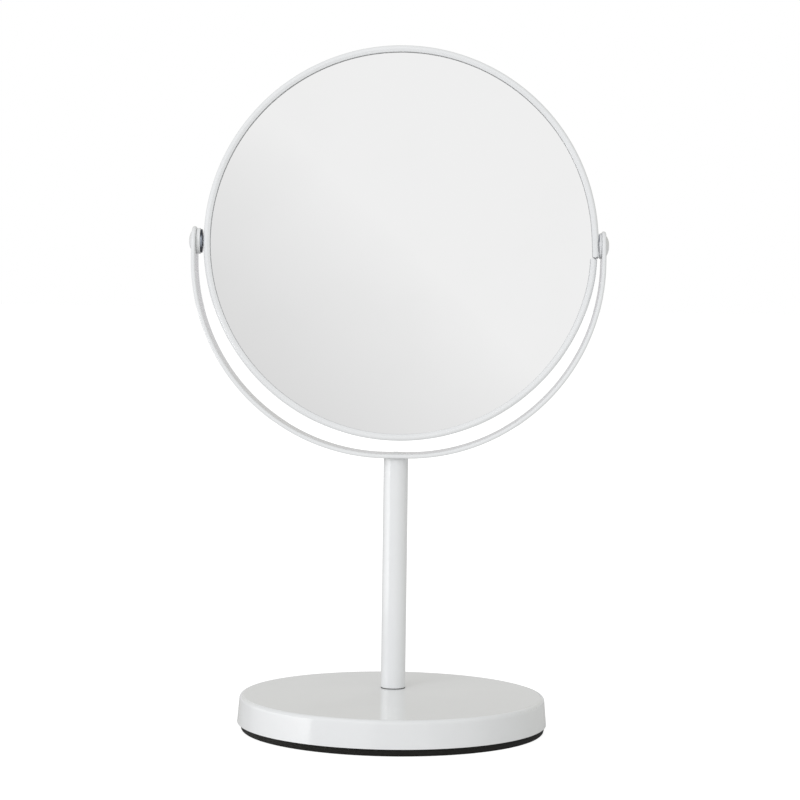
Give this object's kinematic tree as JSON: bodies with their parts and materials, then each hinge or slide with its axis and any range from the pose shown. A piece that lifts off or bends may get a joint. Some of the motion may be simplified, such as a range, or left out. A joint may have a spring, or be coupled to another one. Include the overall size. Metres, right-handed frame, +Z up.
{
  "type": "tabletop makeup mirror",
  "caption": "Round two-sided makeup mirror in a rolled metal hoop that tilts in a U-shaped yoke on a slim column with a round weighted base.",
  "frame": {"origin": "centre of the resting face of the round foam pad, on the surface that the mirror stands on", "axes": "+Z up, -Y towards the viewer that the flat glass faces, +X to that viewer's right along the tilt axis"},
  "size_m": [0.2056, 0.15, 0.3323],
  "materials": {
    "white_paint": "glossy white powder coat",
    "cast_weight": "rough casting",
    "pad_foam": "matte black foam",
    "plain_steel": "zinc plated",
    "silvered_glass": "polished silvered glass",
    "grey_board": "plain grey card",
    "black_washer": "blackened steel"
  },
  "bodies": {
    "stand": {"base_shell": "white_paint", "ballast_weight": "cast_weight", "base_pad": "pad_foam", "base_bolt": "plain_steel", "base_spring_washer": "plain_steel", "base_flat_washer": "plain_steel", "column_tube": "white_paint", "column_foot_insert": "plain_steel", "column_head_insert": "plain_steel", "yoke": "white_paint", "yoke_screw": "white_paint", "left_pivot_spacer": "white_paint", "right_pivot_spacer": "white_paint"},
    "mirror_head": {"rim_hoop": "white_paint", "front_glass": "silvered_glass", "magnifying_glass": "silvered_glass", "backing_card": "grey_board", "foam_ring": "pad_foam", "left_nut_plate": "plain_steel", "right_joint_plate": "plain_steel", "left_pivot_screw": "white_paint", "right_pivot_screw": "white_paint", "left_friction_washer": "black_washer", "right_friction_washer": "black_washer"}
  },
  "joints": [
    {"name": "head_tilt", "type": "hinge", "parent": "stand", "child": "mirror_head", "pos_m": [0, 0.021, 0.23565], "axis": [1, 0, 0], "continuous": true}
  ]
}
